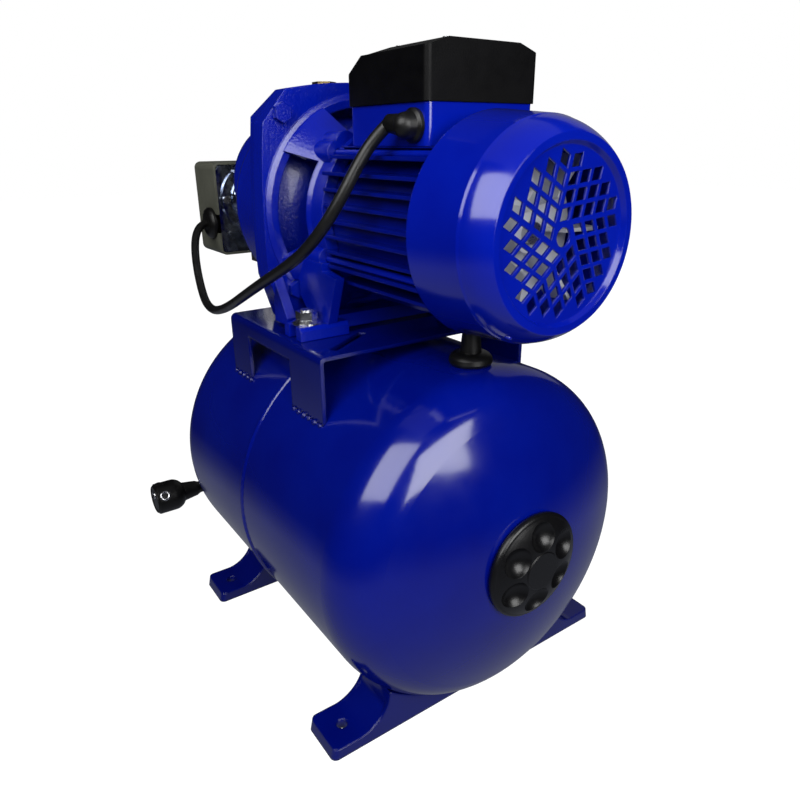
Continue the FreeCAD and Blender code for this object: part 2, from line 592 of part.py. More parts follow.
def capacitor():
    return rod((32, 17, 461), (1, 0, 0), 15.5, 62)


def terminal_block():
    block = box(60, 84, -34, -8, 446, 462)
    posts = [rod((x, y, 461), (0, 0, 1), 2, 8) for x in (64, 72, 80) for y in (-28, -14)]
    return join([block] + posts)


def motor_gland():
    """A domed rubber boot whose side sleeve turns the cord towards the pump."""
    seat = turned([(BOX_HALF - 4, 0), (BOX_HALF - 4, 6), (BOX_HALF + 0.1, 6), (BOX_HALF + 0.1, 10.5),
                   (BOX_HALF + 2.5, 10.5), (BOX_HALF + 4, 8.5), (BOX_HALF + 8, 8), (BOX_HALF + 8, 0)],
                  (GLAND_X, 0, GLAND_Z), (0, -1, 0))
    dome = Part.makeSphere(8, V(GLAND_X, -BOX_HALF - 7.5, GLAND_Z))
    start, end = V(GLAND_X, -BOX_HALF - 8, GLAND_Z), V(*LINK_PATH[0])
    along = end - start
    reach = along.Length
    sleeve = Part.makeCone(7, 5.6, reach, start, along)
    return join([seat, dome, sleeve])


# ---- fittings, hose and gauge -------------------------------------------------------------
def five_way():
    """The plated five-way fitting between pump, outlet, tank, gauge and switch."""
    solid = join([rod((FIVE_X, 0, PORT_Z - 38), (0, 0, 1), 19, 76),
                  rod((FIVE_X, 0, PORT_Z - 52), (0, 0, 1), 16.4, 108),
                  hexagon((FIVE_X + 12, 0, PORT_Z), (1, 0, 0), 36, 13),
                  rod((FIVE_X, 0, PORT_Z), (1, 0, 0), 15.1, 43),
                  rod((FIVE_X - 24, 0, PORT_Z), (1, 0, 0), 9.5, 24),
                  rod((FIVE_X, 0, PORT_Z), (0, 1, 0), 9.5, 30)])
    bores = [rod((FIVE_X, 0, PORT_Z - 60), (0, 0, 1), 12.5, 120), rod((FIVE_X, 0, PORT_Z), (1, 0, 0), 12, 50),
             rod((FIVE_X - 30, 0, PORT_Z), (1, 0, 0), 5.2, 30), rod((FIVE_X, 0, PORT_Z), (0, 1, 0), 6.7, 40)]
    return solid.cut(bores)


def gauge_body():
    """The gauge's case with its stem, open at the dial."""
    y0 = 36.0
    return turned([(24, 2), (24, 6.5), (30.2, 6.5), (30.2, 8.5), (y0, 8.5), (y0, 25), (y0 + 20, 25),
                   (y0 + 20, 22.6), (y0 + 14, 22.6), (y0 + 14, 2)], (FIVE_X, 0, PORT_Z), (0, 1, 0))


def gauge_glass():
    return turned([(54.2, 0), (54.2, 22.3), (55.8, 22.3), (55.8, 0)], (FIVE_X, 0, PORT_Z), (0, 1, 0))


def gauge_needle():
    needle = box(-1, 1, 51.6, 52.4, -5, 18)
    hub = rod((0, 51.4, 0), (0, 1, 0), 3, 1.6)
    pin = rod((0, 40, 0), (0, 1, 0), 1.9, 12)
    piece = join([needle, hub, pin])
    piece.rotate(V(0, 0, 0), V(0, 1, 0), 225)
    piece.translate(V(FIVE_X, 0, PORT_Z))
    return piece


HOSE_R = 8.5
HOSE_PATH = [(FIVE_X, 0, 316), (FIVE_X, 0, 288), (FIVE_X - 3, 18, 260), (FIVE_X - 10, 24, 230),
             (FIVE_X - 17, 14, 202), (ELBOW_X, 0, 172)]


def hose_nut():
    """The swivel nut at the top of the tank hose."""
    nut = hexagon((FIVE_X, 0, PORT_Z - 64), (0, 0, 1), 37, 24)
    return nut.cut([rod((FIVE_X, 0, PORT_Z - 53), (0, 0, 1), 16.48, 30),
                    rod((FIVE_X, 0, PORT_Z - 70), (0, 0, 1), 6, 30)])


def hose_elbow():
    """The elbow screwed on the tank's nipple."""
    x = ELBOW_X
    elbow = join([Part.makeSphere(19.5, V(x, 0, TANK_Z)), rod((x, 0, TANK_Z), (1, 0, 0), 19.5, 20),
                  rod((x, 0, TANK_Z), (0, 0, 1), 15, 27)])
    return elbow.cut([rod((x, 0, TANK_Z), (1, 0, 0), 12, 16), rod((x + 7, 0, TANK_Z), (1, 0, 0), 16.7, 30),
                      rod((x, 0, TANK_Z), (0, 0, 1), 6, 40)])


# ---- pressure switch ----------------------------------------------------------------------
def switch_screw_holes():
    hole = rod((SWITCH_X - 5, 0, PORT_Z + SCREW_RING), (1, 0, 0), 2.2, 20)
    return around(hole, 6, (0, 0, PORT_Z), (1, 0, 0), 30)


def switch_base():
    """The plated base plate with its returned edges."""
    plate = box(SWITCH_X - 2, SWITCH_X, -SWITCH_HALF, SWITCH_HALF, SWITCH_Z0, SWITCH_Z1)
    edges = [e for e in plate.Edges if abs(e.tangentAt(0).x) > 0.9]
    plate = plate.makeFillet(7, edges)
    return plate.cut([rod((SWITCH_X - 5, 0, PORT_Z), (1, 0, 0), 24, 10)] + switch_screw_holes())


def switch_dome():
    """The plated diaphragm cap with its inlet nut."""
    cap = turned([(SWITCH_X + 0.1, 0), (SWITCH_X + 0.1, DOME_R), (SWITCH_X + 3, DOME_R), (SWITCH_X + 3.4, 26),
                  ((SWITCH_X + 9, 24), (SWITCH_X + 12, 14)), (SWITCH_X + 12, 0)], (0, 0, PORT_Z))
    nut = hexagon((SWITCH_X + 11, 0, PORT_Z), (1, 0, 0), 17, 5.8)
    hollow = turned([(SWITCH_X - 1, 0), (SWITCH_X - 1, 22), (SWITCH_X + 4, 21), (SWITCH_X + 8, 12),
                     (SWITCH_X + 8, 0)], (0, 0, PORT_Z))
    bore = rod((SWITCH_X, 0, PORT_Z), (1, 0, 0), 5, 30)
    return join([cap, nut]).cut([hollow, bore] + switch_screw_holes())


def switch_screws():
    screw = join([rod((SWITCH_X - 2.5, 0, PORT_Z + SCREW_RING), (1, 0, 0), 2, 6),
                  rod((SWITCH_X + 3.4, 0, PORT_Z + SCREW_RING), (1, 0, 0), 4.2, 3)])
    return Part.makeCompound(around(screw, 6, (0, 0, PORT_Z), (1, 0, 0), 30))


def switch_arm():
    """The rocking lever that the diaphragm pushes."""
    return join([box(SWITCH_X - 24, SWITCH_X - 21, -18, 18, 356, 398),
                 rod((SWITCH_X - 22.5, -19, 356), (0, 1, 0), 3, 38)])


def switch_spring():
    return pipe((SWITCH_X - 58, 0, 384), (1, 0, 0), 9, 6.5, 33)


def switch_contacts():
    """The terminal block, with the post that holds the cover."""
    block = box(SWITCH_X - 20, SWITCH_X - 2.1, -26, 26, 330, 348)
    rail = box(SWITCH_X - 8, SWITCH_X - 2.1, -5, 5, 346, 408)
    posts = [rod((SWITCH_X - 24, y, 339), (1, 0, 0), 2.5, 6) for y in (-21, -7, 7, 21)]
    return join([block, rail, rod((SWITCH_X - 70, 0, POST_Z), (1, 0, 0), 2.5, 63)] + posts)


def switch_cover():
    """The grey plastic cover with rounded edges, open towards the base plate."""
    x0, x1 = SWITCH_X - 64, SWITCH_X + 1.2
    half, z0, z1 = SWITCH_HALF + 2.8, SWITCH_Z0 - 2.8, SWITCH_Z1 + 2.8
    block = box(x0, x1, -half, half, z0, z1)
    edges = [e for e in block.Edges if not (abs(e.CenterOfMass.x - x1) < 0.1)]
    block = block.makeFillet(7, edges)
    hollow = box(x0 + 2.4, x1 + 1, -half + 2.4, half - 2.4, z0 + 2.4, z1 - 2.4)
    edges = [e for e in hollow.Edges if not (abs(e.CenterOfMass.x - x1 - 1) < 0.1)]
    hollow = hollow.makeFillet(5, edges)
    glands = join([rod((SWITCH_GLAND_X, -60, SWITCH_GLAND_Z), (0, 1, 0), 10.2, 120),
                   box(SWITCH_GLAND_X, x1 + 1, -60, 60, SWITCH_GLAND_Z - 10.2, SWITCH_GLAND_Z + 10.2)])
    post = rod((x0 - 1, 0, POST_Z), (1, 0, 0), 2.8, 6)
    return block.cut([hollow, glands, post])


def cover_nut():
    nut = turned([(SWITCH_X - 71, 0), (SWITCH_X - 71, 7), (SWITCH_X - 64.2, 8), (SWITCH_X - 64.2, 0)],
                 (0, 0, POST_Z))
    return nut.cut(rod((SWITCH_X - 70.4, 0, POST_Z), (1, 0, 0), 2.55, 10))


def switch_gland(side):
    """A wide rubber grommet in the cover's wall: side is -1 or 1 along Y."""
    y = SWITCH_HALF
    return turned([(y - 2, 4), (y - 2, 10), (y + 3.2, 10), (y + 3.2, 17), (y + 6, 17),
                   ((y + 9, 14), (y + 10, 8)), (y + 11, 4)],
                  (SWITCH_GLAND_X, 0, SWITCH_GLAND_Z), (0, side, 0))


def switch_glands():
    return Part.makeCompound([switch_gland(-1), switch_gland(1)])


# ---- cords --------------------------------------------------------------------------------
LINK_PATH = [(89, -55, 450), (83, -63, 441), (79, -74, 424), (75, -84, 405), (66, -93, 386),
             (44, -99, 366), (12, -102, 350), (-28, -103, 333), (-66, -102, 317), (-104, -99, 302),
             (-140, -96, 290), (-172, -93, 283), (-200, -90, 285), (-222, -86, 297), (-240, -82, 314),
             (-258, -76, 331), (-274, -68, 344), (-286, -58, 352),
             (SWITCH_GLAND_X, -SWITCH_HALF - 11.1, SWITCH_GLAND_Z)]
DROP_PATH = [(SWITCH_GLAND_X, SWITCH_HALF + 11.1, SWITCH_GLAND_Z), (-291, 66, 352), (-294, 84, 338),
             (-298, 99, 308), (-303, 110, 266), (-307, 116, 214), (-309, 118, 162), (-310, 117, 112),
             (-309, 112, 68), (-308, 100, 36), (-307, 84, 18), (-306, 66, 12.2), (-306, 48, 12.2)]
TAIL_PATH = [(-308, 24, 4.5), (-308, 4, 4.5), (-309, -16, 6.5), (-310, -36, 11.5), (-311, -54, 17),
             (-312, -72, 20)]
COIL_AT, COIL_OUT, COIL_IN, COIL_TALL = V(-352, 34, 0), 50.0, 26.0, 17.0


def mains_coil():
    """The rest of the mains cord, laid in a flat ring on the floor."""
    mid = COIL_TALL / 2
    return turned([(0, COIL_IN + 4), (mid, COIL_IN), (COIL_TALL, COIL_IN + 4),
                   (COIL_TALL, COIL_OUT - 4), (mid, COIL_OUT), (0, COIL_OUT - 4)],
                  tuple(COIL_AT), (0, 0, 1))


def mains_plug():
    """The moulded plug with its side earth grooves, lying on the floor, face towards -Y."""
    at = FLOOR_PLUG
    body = turned([(-22, 0), (-22, 17.5), (-20, 19.5), (0, 19.5), ((9, 16.5), (13, 12)), (30, 9.5),
                   (34, 7.5), (52, 6), (52, 0)], tuple(at), (0, 1, 0))
    grooves = [box(at.x - 4, at.x + 4, at.y - 30, at.y - 8, at.z + s * 19.5 - 2.5, at.z + s * 19.5 + 2.5)
               for s in (-1, 1)]
    return body.cut(grooves)


NODES = {
    "tank_half_fan": tank_half_fan(), "tank_half_pump": tank_half_pump(), "bladder": bladder(),
    "tank_flange": tank_flange(), "tank_flange_bolts": tank_flange_bolts(),
    "foot_fan_end": foot(FOOT_PITCH / 2), "foot_pump_end": foot(-FOOT_PITCH / 2),
    "saddle_plate": saddle_plate(), "rear_support": rear_support(), "air_valve": air_valve(),
    "valve_cap": valve_cap(), "pump_body": pump_body(), "back_plate": back_plate(),
    "diffuser": diffuser(), "impeller": impeller(), "ejector": ejector(), "seal_seat": seal_seat(),
    "seal_head": seal_head(), "priming_plug": priming_plug(), "drain_plug": drain_plug(),
    "bracket": bracket(), "flange_bolts": flange_bolts(), "foot_bolts": foot_bolts(),
    "shaft": shaft(), "bearings": Part.makeCompound([bearing(-20), bearing(118.5)]),
    "rotor": rotor(), "stator": stator(), "windings": windings(), "motor_housing": motor_housing(),
    "rear_shield": rear_shield(), "tie_rods": tie_rods(), "fan": fan(), "fan_cover": fan_cover(),
    "terminal_box": terminal_box(), "terminal_lid": terminal_lid(), "lid_screws": lid_screws(),
    "capacitor": capacitor(), "terminal_block": terminal_block(), "motor_gland": motor_gland(),
    "five_way": five_way(), "gauge_body": gauge_body(), "gauge_glass": gauge_glass(),
    "gauge_needle": gauge_needle(), "hose_nut": hose_nut(), "hose_elbow": hose_elbow(),
    "tank_hose": cord_tube("tank_hose", HOSE_PATH, HOSE_R), "switch_base": switch_base(),
    "switch_dome": switch_dome(), "switch_screws": switch_screws(), "switch_arm": switch_arm(),
    "switch_spring": switch_spring(), "switch_contacts": switch_contacts(),
    "switch_cover": switch_cover(), "cover_nut": cover_nut(), "switch_glands": switch_glands(),
    "link_cord": cord_tube("link_cord", LINK_PATH, LINK_R),
    "mains_cord": cord_tube("mains_cord", DROP_PATH, MAINS_R), "mains_coil": mains_coil(),
    "mains_tail": cord_tube("mains_tail", TAIL_PATH, MAINS_R), "mains_plug": mains_plug(),
}

os.makedirs("parts", exist_ok=True)
for name, shape in NODES.items():
    solids = shape.Solids
    assert shape.isValid() and solids, name
    print(f"{name}: {len(solids)} solid(s), {shape.Volume / 1000:.1f} cm3")
    shape.exportStep(f"parts/{name}.step")
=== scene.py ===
import math

import bmesh
import bpy
from mathutils import Matrix, Vector


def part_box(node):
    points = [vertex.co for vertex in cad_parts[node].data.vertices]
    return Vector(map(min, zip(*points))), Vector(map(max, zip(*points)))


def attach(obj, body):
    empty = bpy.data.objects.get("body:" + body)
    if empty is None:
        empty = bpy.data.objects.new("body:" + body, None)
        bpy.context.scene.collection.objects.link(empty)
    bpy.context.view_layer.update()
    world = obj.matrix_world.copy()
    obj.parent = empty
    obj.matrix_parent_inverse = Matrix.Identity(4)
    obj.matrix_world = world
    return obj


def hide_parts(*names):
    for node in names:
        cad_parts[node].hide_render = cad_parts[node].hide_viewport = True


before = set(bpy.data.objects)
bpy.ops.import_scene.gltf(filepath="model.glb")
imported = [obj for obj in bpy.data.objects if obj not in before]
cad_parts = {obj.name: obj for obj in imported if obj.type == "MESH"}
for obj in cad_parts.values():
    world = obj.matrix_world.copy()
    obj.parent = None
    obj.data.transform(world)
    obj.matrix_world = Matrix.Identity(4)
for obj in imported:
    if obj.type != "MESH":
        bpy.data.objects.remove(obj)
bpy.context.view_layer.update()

MM = 0.001

# ---- camera -------------------------------------------------------------------------------
CAMERA_AT = (0.46838, -0.31258, 0.440)
CAMERA_AZIMUTH, CAMERA_ELEVATION, CAMERA_ROLL, CAMERA_LENS = 55.13, 21.37, 0.4525, 29.90


def add_camera():
    azimuth, elevation = math.radians(CAMERA_AZIMUTH), math.radians(CAMERA_ELEVATION)
    turn = Matrix.Rotation(azimuth, 4, "Z") @ Matrix.Rotation(math.pi / 2 - elevation, 4, "X")
    roll = Matrix.Rotation(math.radians(-CAMERA_ROLL), 4, "Z")
    data = bpy.data.cameras.new("camera")
    data.sensor_width, data.lens = 36.0, CAMERA_LENS
    data.clip_start = 0.01
    camera = bpy.data.objects.new("camera", data)
    bpy.context.collection.objects.link(camera)
    camera.matrix_world = Matrix.Translation(CAMERA_AT) @ turn @ roll
    bpy.context.scene.camera = camera


# ---- materials ----------------------------------------------------------------------------
class Shader:
    """A Principled material with a few helpers for its node tree."""

    def __init__(self, name, color, roughness, metallic=0.0):
        self.material = bpy.data.materials.new(name)
        self.material.use_nodes = True
        self.tree = self.material.node_tree
        self.main = self.tree.nodes["Principled BSDF"]
        self.set("Base Color", (*color, 1))
        self.set("Roughness", roughness)
        self.set("Metallic", metallic)
        self.place = self.node("ShaderNodeTexCoord").outputs["Object"]

    def node(self, kind, **inputs):
        made = self.tree.nodes.new(kind)
        for key, value in inputs.items():
            made.inputs[key.replace("_", " ")].default_value = value
        return made

    def set(self, socket, value):
        self.main.inputs[socket].default_value = value

    def link(self, output, socket):
        self.tree.links.new(output, socket)

    def noise(self, scale, detail=3.0, roughness=0.5, stretch=None):
        made = self.node("ShaderNodeTexNoise", Scale=scale, Detail=detail, Roughness=roughness)
        if stretch:
            mapping = self.node("ShaderNodeMapping", Scale=stretch)
            self.link(self.place, mapping.inputs["Vector"])
            self.link(mapping.outputs["Vector"], made.inputs["Vector"])
        else:
            self.link(self.place, made.inputs["Vector"])
        return made.outputs["Fac"]

    def spread(self, value, low, high):
        """Map a noise's middle band to a range."""
        made = self.node("ShaderNodeMapRange")
        made.inputs["From Min"].default_value = 0.3
        made.inputs["From Max"].default_value = 0.7
        made.inputs["To Min"].default_value = low
        made.inputs["To Max"].default_value = high
        self.link(value, made.inputs["Value"])
        return made.outputs["Result"]

    def tint(self, value, dark, light):
        """Let a noise move the base colour between two shades."""
        made = self.node("ShaderNodeMix")
        made.data_type = "RGBA"
        for socket in made.inputs:
            if socket.type == "RGBA":
                socket.default_value = (*{"A": dark, "B": light}[socket.name], 1)
        self.link(self.spread(value, 0, 1), made.inputs["Factor"])
        result = [o for o in made.outputs if o.type == "RGBA"][0]
        self.link(result, self.main.inputs["Base Color"])

    def rough(self, value, low, high):
        self.link(self.spread(value, low, high), self.main.inputs["Roughness"])

    def bump(self, value, depth, rounding=0.0):
        """Grain of a depth in metres, with edges softened over a rounding radius."""
        made = self.node("ShaderNodeBump", Strength=1.0, Distance=depth)
        self.link(value, made.inputs["Height"])
        if rounding:
            bevel = self.node("ShaderNodeBevel", Radius=rounding)
            bevel.samples = 4
            self.link(bevel.outputs["Normal"], made.inputs["Normal"])
        self.link(made.outputs["Normal"], self.main.inputs["Normal"])


BLUE_DARK, BLUE_LIGHT = (0.0004, 0.0060, 0.28), (0.0005, 0.0100, 0.35)


def enamel(name, grain=0.000005, grain_scale=110, rounding=0.0012, roughness=(0.12, 0.18), painted_shade=1.0):
    """Deep blue gloss enamel: smooth on sheet, grainy on castings; on the tank, fins and feet the
    colour is darkened by a factor, as painted shade.
    """
    made = Shader(name, BLUE_LIGHT, 0.3)
    # The last argument scales both blues down: painted shade on parts that lie in less light.
    made.tint(made.noise(14, 4), [c * painted_shade for c in BLUE_DARK], [c * painted_shade for c in BLUE_LIGHT])
    made.rough(made.noise(60, 5), *roughness)
    made.bump(made.noise(grain_scale, 4, 0.6), grain, rounding)
    made.set("Coat Weight", 0.35)
    made.set("Coat Roughness", 0.09)
    return made.material


def plastic(name, color, roughness, grain=0.00003, scale=1600, shine=0.5):
    """Moulded plastic with a fine grain."""
    made = Shader(name, color, roughness)
    made.tint(made.noise(30, 3), [c * 0.8 for c in color], [c * 1.15 for c in color])
    made.rough(made.noise(90, 4), roughness - 0.05, roughness + 0.06)
    made.bump(made.noise(scale, 2, 0.6), grain, 0.0006)
    made.set("Specular IOR Level", shine)
    return made.material


def metal(name, color, roughness, streaks=(1, 1, 1), grain=0.000012, scale=700):
    """Bare or plated metal, brushed along one axis where streaks are given."""
    made = Shader(name, color, roughness, 1.0)
    made.tint(made.noise(45, 4), [c * 0.82 for c in color], color)
    made.rough(made.noise(120, 4, stretch=streaks), roughness - 0.07, roughness + 0.1)
    made.bump(made.noise(scale, 3, stretch=streaks), grain, 0.0004)
    return made.material


def rubber(name, color=(0.003, 0.003, 0.003), roughness=0.38):
    """Soft black rubber or cord jacket."""
    made = Shader(name, color, roughness)
    made.tint(made.noise(40, 3), [c * 0.7 for c in color], [c * 1.4 for c in color])
    made.rough(made.noise(110, 4), roughness - 0.07, roughness + 0.08)
    made.bump(made.noise(900, 3), 0.00003, 0.0004)
    made.set("Specular IOR Level", 0.4)
    return made.material


def braid(name):
    """Woven steel wire over a rubber hose."""
    made = Shader(name, (0.55, 0.55, 0.56), 0.35, 0.9)
    checks = made.node("ShaderNodeTexChecker", Scale=520.0)
    made.link(made.place, checks.inputs["Vector"])
    made.tint(made.noise(900, 2), (0.2, 0.2, 0.21), (0.7, 0.7, 0.72))
    made.bump(checks.outputs["Fac"], 0.0004)
    return made.material


def glass(name):
    made = Shader(name, (0.95, 0.97, 0.98), 0.04)
    made.set("Transmission Weight", 1.0)
    made.set("IOR", 1.5)
    return made.material


def make_materials():
    return {
        "sheet": enamel("blue_sheet"),
        # The tank's enamel is a darker copy of the one blue: painted shade.
        "tank": enamel("blue_tank_painted_shade", painted_shade=0.58),
        # The fins' enamel is a darker copy of the one blue: painted shade.
        "fins": enamel("blue_fins_painted_shade", painted_shade=0.62),
        # The feet, saddle plate and weld beads take a much darker copy of the one blue: painted
        # shade.
        "foot": enamel("blue_foot_painted_shade", 0.00001, 200, 0.003, painted_shade=0.4),
        "cast": enamel("blue_cast", 0.00035, 420, 0.0012, (0.10, 0.18)),
        "black": plastic("black_plastic", (0.003, 0.003, 0.0035), 0.30, shine=0.4),
        "lid": plastic("lid_plastic", (0.0012, 0.0012, 0.0016), 0.5, 0.00012, 900, 0.14),
        "grey": plastic("grey_plastic", (0.10, 0.103, 0.08), 0.42, 0.00005, 1200),
        "fan": plastic("fan_plastic", (0.72, 0.74, 0.78), 0.4),
        "zinc": metal("zinc", (0.74, 0.75, 0.77), 0.2),
        # The plate's bluish colour is a painted reflection of the blue pump body.
        "plate": metal("plate_painted_blue_reflection", (0.46, 0.52, 0.66), 0.09, grain=0.000003),
        "steel": metal("steel", (0.55, 0.55, 0.56), 0.3, (1, 8, 8)),
        "pebble": enamel("blue_pebble", 0.0007, 380, 0.0015, (0.14, 0.22)),
        "nickel": metal("nickel", (0.62, 0.61, 0.58), 0.24),
        "brass": metal("brass", (0.72, 0.52, 0.22), 0.28),
        "copper": metal("copper", (0.62, 0.26, 0.13), 0.35),
        "rubber": rubber("rubber"),
        "cord": rubber("cord_jacket", (0.006, 0.006, 0.006), 0.34),
        "ceramic": plastic("ceramic", (0.8, 0.78, 0.74), 0.2),
        "glass": glass("glass"),
        "red": plastic("red_paint", (0.5, 0.02, 0.01), 0.3),
        "braid": braid("steel_braid"),
    }


FINISH = {
    "sheet": "fan_cover terminal_box",
    "tank": "tank_half_fan tank_half_pump",
    "fins": "motor_housing",
    "foot": "foot_fan_end foot_pump_end saddle_plate",
    "cast": "pump_body bracket rear_shield tie_rods flange_bolts",
    "black": "valve_cap diffuser ejector capacitor gauge_body cover_nut",
    "lid": "terminal_lid",
    "grey": "switch_cover switch_contacts terminal_block",
    "fan": "fan",
    "zinc": "tank_flange tank_flange_bolts foot_bolts lid_screws switch_screws"
            " switch_arm switch_spring",
    "plate": "switch_base switch_dome",
    "steel": "shaft bearings rotor stator seal_head",
    "pebble": "back_plate",
    "nickel": "five_way hose_nut hose_elbow",
    "brass": "impeller air_valve priming_plug drain_plug",
    "copper": "windings",
    "rubber": "bladder rear_support motor_gland switch_glands mains_plug",
    "ceramic": "seal_seat",
    "glass": "gauge_glass",
    "red": "gauge_needle",
}


def paint_nodes(materials):
    for key, nodes in FINISH.items():
        for node in nodes.split():
            piece = bpy.data.objects[node]
            for slot in piece.material_slots:
                slot.material = materials[key]
            if not piece.material_slots:
                piece.data.materials.append(materials[key])


# ---- cords: paths, diameters and the coil in millimetres, the plug's place in metres ---------
LINK_PATH = [(89, -55, 450), (83, -63, 441), (79, -74, 424), (75, -84, 405), (66, -93, 386),
             (44, -99, 366), (12, -102, 350), (-28, -103, 333), (-66, -102, 317), (-104, -99, 302),
             (-140, -96, 290), (-172, -93, 283), (-200, -90, 285), (-222, -86, 297), (-240, -82, 314),
             (-258, -76, 331), (-274, -68, 344), (-286, -58, 352), (-290, -50.1, 354)]
DROP_PATH = [(-290, 50.1, 354), (-291, 66, 352), (-294, 84, 338), (-298, 99, 308), (-303, 110, 266),
             (-307, 116, 214), (-309, 118, 162), (-310, 117, 112), (-309, 112, 68), (-308, 100, 36),
             (-307, 84, 18), (-306, 66, 12.2), (-306, 50, 12.2)]
TAIL_PATH = [(-308, 20, 4.5), (-308, 4, 4.5), (-309, -16, 6.5), (-310, -36, 11.5), (-311, -54, 17),
             (-312, -72, 20)]
HOSE_PATH = [(-231, 0, 316), (-231, 0, 288), (-234, 18, 260), (-241, 24, 230),
             (-248, 14, 202), (-250, 0, 172)]
LINK_D, MAINS_D, HOSE_D = 8.4, 7.6, 17.0
COIL_X, COIL_Y, COIL_WIDE, COIL_TIGHT = -352, 34, 45.6, 30.0
COIL_TURNS, COIL_STEPS = 3, 16
LAYER_LOW, LAYER_HIGH = 4.0, 12.2
PLUG_AT = Vector((-0.312, -0.124, 0.020))


def coil_points():
    """Two layers of turns: inward on top, outward underneath."""
    points = []
    layer = COIL_TURNS * COIL_STEPS
    for step in range(1, 2 * layer):
        angle = -2 * math.pi * step / COIL_STEPS
        inward = 1 - abs(1 - step / layer)
        radius = COIL_WIDE + (COIL_TIGHT - COIL_WIDE) * inward
        drop = min(max((step - layer) / COIL_STEPS + 0.5, 0), 1)
        points.append((COIL_X + radius * math.cos(angle), COIL_Y + radius * math.sin(angle),
                       LAYER_HIGH + (LAYER_LOW - LAYER_HIGH) * drop))
    return points


def nurbs(name, points, diameter, material):
    """A round cord along one NURBS spline, from points in millimetres."""
    data = bpy.data.curves.new(name, "CURVE")
    data.dimensions = "3D"
    data.bevel_depth = diameter / 2 * MM
    data.bevel_resolution = 6
    data.resolution_u = 8
    data.use_fill_caps = True
    spline = data.splines.new("NURBS")
    spline.points.add(len(points) - 1)
    for control, point in zip(spline.points, points):
        control.co = (*(Vector(point) * MM), 1)
    spline.order_u = 3
    spline.use_endpoint_u = True
    data.materials.append(material)
    piece = bpy.data.objects.new(name, data)
    bpy.context.collection.objects.link(piece)
    return piece


def add_link_cord(materials):
    """The cord from the terminal box to the pressure switch."""
    cord = nurbs("link_lead", LINK_PATH, LINK_D, materials["cord"])
    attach(cord, "set")
    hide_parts("link_cord")


def add_mains_cord(materials):
    """The mains cord: a drop to the floor, a flat coil behind the tank, and the plug."""
    cord = nurbs("mains_lead", DROP_PATH + coil_points() + TAIL_PATH, MAINS_D, materials["cord"])
    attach(cord, "set")
    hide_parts("mains_cord", "mains_coil", "mains_tail")


def add_hose(materials):
    """The braided hose from the five-way to the tank's elbow."""
    hose = nurbs("braided_hose", HOSE_PATH, HOSE_D, materials["braid"])
    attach(hose, "set")
    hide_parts("tank_hose")


# ---- small visible details ----------------------------------------------------------------
def mesh_piece(name, mesh, material, body="set"):
    piece = bpy.data.objects.new(name, mesh)
    mesh.materials.append(material)
    bpy.context.collection.objects.link(piece)
    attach(piece, body)
    return piece


def lathe(name, rows, place, turns=40):
    """A smooth turned mesh from (height, radius) rows, in millimetres, set by a matrix."""
    mesh = bpy.data.meshes.new(name)
    work = bmesh.new()
    rings = []
    for height, radius in rows:
        ring = []
        for step in range(turns):
            angle = 2 * math.pi * step / turns
            point = Vector((radius * math.cos(angle), radius * math.sin(angle), height)) * MM
            ring.append(work.verts.new(place @ point))
        rings.append(ring)
    for low, high in zip(rings, rings[1:]):
        for step in range(turns):
            after = (step + 1) % turns
            work.faces.new((low[step], low[after], high[after], high[step]))
    work.faces.new(rings[0][::-1])
    work.faces.new(rings[-1])
    bmesh.ops.recalc_face_normals(work, faces=work.faces)
    work.to_mesh(mesh)
    work.free()
    for face in mesh.polygons:
        face.use_smooth = True
    return mesh


def aim(at, direction):
    """A matrix that sets a turned piece at a place, along a direction."""
    turn = Vector((0, 0, 1)).rotation_difference(Vector(direction)).to_matrix().to_4x4()
    return Matrix.Translation(Vector(at)) @ turn


# Weld beads, in metres.
TANK_SKIN_R = 0.1405
BEAD_PITCH, BEAD_INSET, FAN_SIDE_RUN = 0.0085, 0.004, 0.0505
BEADS_PUMP_SIDE, BEADS_FAN_SIDE = 5, 6
BEAD_OUT, BEAD_SUNK = 0.0006, 0.0008
BEAD_R, BEAD_R_MORE = 0.0019, 0.0009


def add_welds(materials):
    """Runs of small weld beads where the saddle's four legs meet the tank."""
    mesh = bpy.data.meshes.new("weld_beads")
    work = bmesh.new()
    low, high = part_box("saddle_plate")
    flange_low, flange_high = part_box("tank_flange")
    axis_z = (flange_low[2] + flange_high[2]) / 2
    spots = []
    for side in (-1, 1):
        y = side * high[1]
        z = axis_z + math.sqrt(TANK_SKIN_R ** 2 - y ** 2)
        for left, count in ((low[0], BEADS_PUMP_SIDE), (high[0] - FAN_SIDE_RUN, BEADS_FAN_SIDE)):
            for step in range(count):
                x = left + BEAD_INSET + BEAD_PITCH * step
                spots.append((x, y + side * BEAD_OUT, z - BEAD_SUNK))
    for number, spot in enumerate(spots):
        size = BEAD_R + BEAD_R_MORE * ((number * 7) % 5) / 4
        made = bmesh.ops.create_icosphere(work, subdivisions=2, radius=size)
        stretch = 0.8 + 0.5 * ((number * 3) % 4) / 3
        for vertex in made["verts"]:
            vertex.co.x *= stretch
            vertex.co += Vector(spot)
    work.to_mesh(mesh)
    work.free()
    for face in mesh.polygons:
        face.use_smooth = True
    # The beads take the feet's darkened enamel, with its painted shade.
    mesh_piece("weld_beads", mesh, materials["foot"])


